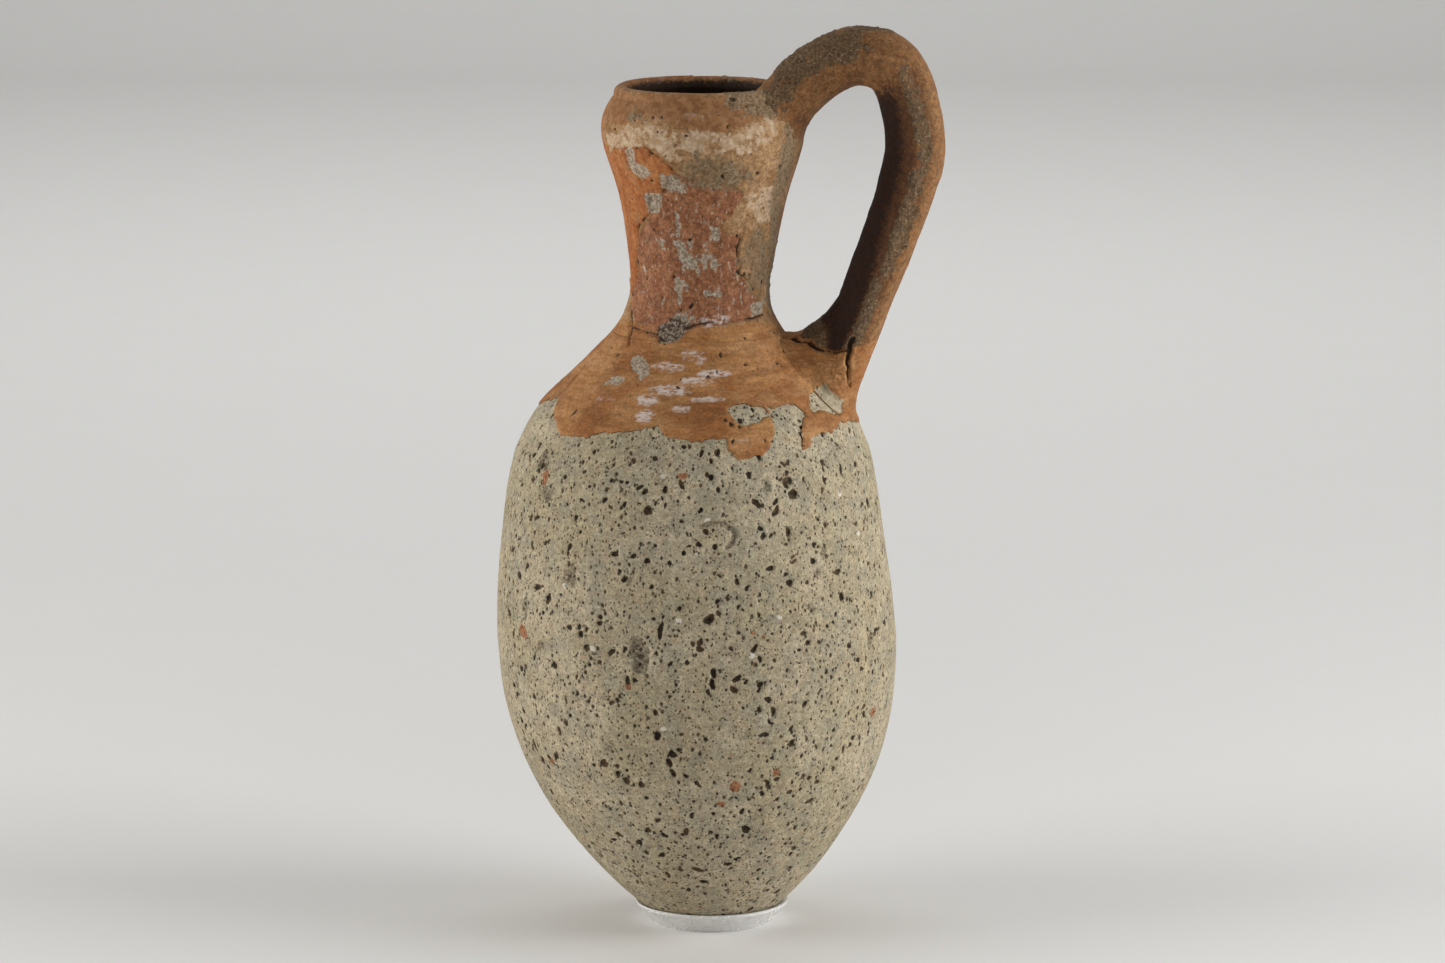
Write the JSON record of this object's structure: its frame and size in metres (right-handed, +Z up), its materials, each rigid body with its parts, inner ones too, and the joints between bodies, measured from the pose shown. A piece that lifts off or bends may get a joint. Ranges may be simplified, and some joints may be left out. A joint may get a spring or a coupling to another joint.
{
  "type": "clay jug",
  "caption": "Coil-built, low-fired clay jug with an ovoid body, narrow neck, inturned rim and tall loop handle, standing in a clear display ring.",
  "frame": {"origin": "centre of the display ring's underside, on the table", "axes": "+Z up through the jug's neck, +X towards the handle, +Y completes a right-handed frame"},
  "size_m": [0.1388, 0.124, 0.281],
  "materials": {
    "porous_clay": "unglazed, vesicular and pitted, matt",
    "orange_clay": "unglazed, worn fine-clay skin, matt",
    "handle_clay": "unglazed, worn, with gritty deposits, matt",
    "clear_plastic": "clear cast acrylic, polished edges"
  },
  "bodies": {
    "stand": {"display_ring": "clear_plastic"},
    "jug": {"base_disc": "porous_clay", "lower_wall": "porous_clay", "upper_wall": "porous_clay", "shoulder": "porous_clay", "shoulder_skin": "orange_clay", "neck": "orange_clay", "rim": "orange_clay", "handle": "handle_clay", "rim_pad": "handle_clay", "foot_pad": "handle_clay"}
  },
  "joints": [
    {"name": "lift_off", "type": "slide", "parent": "stand", "child": "jug", "axis": [0, 0, 1], "range_m": [0, 0.06]}
  ]
}
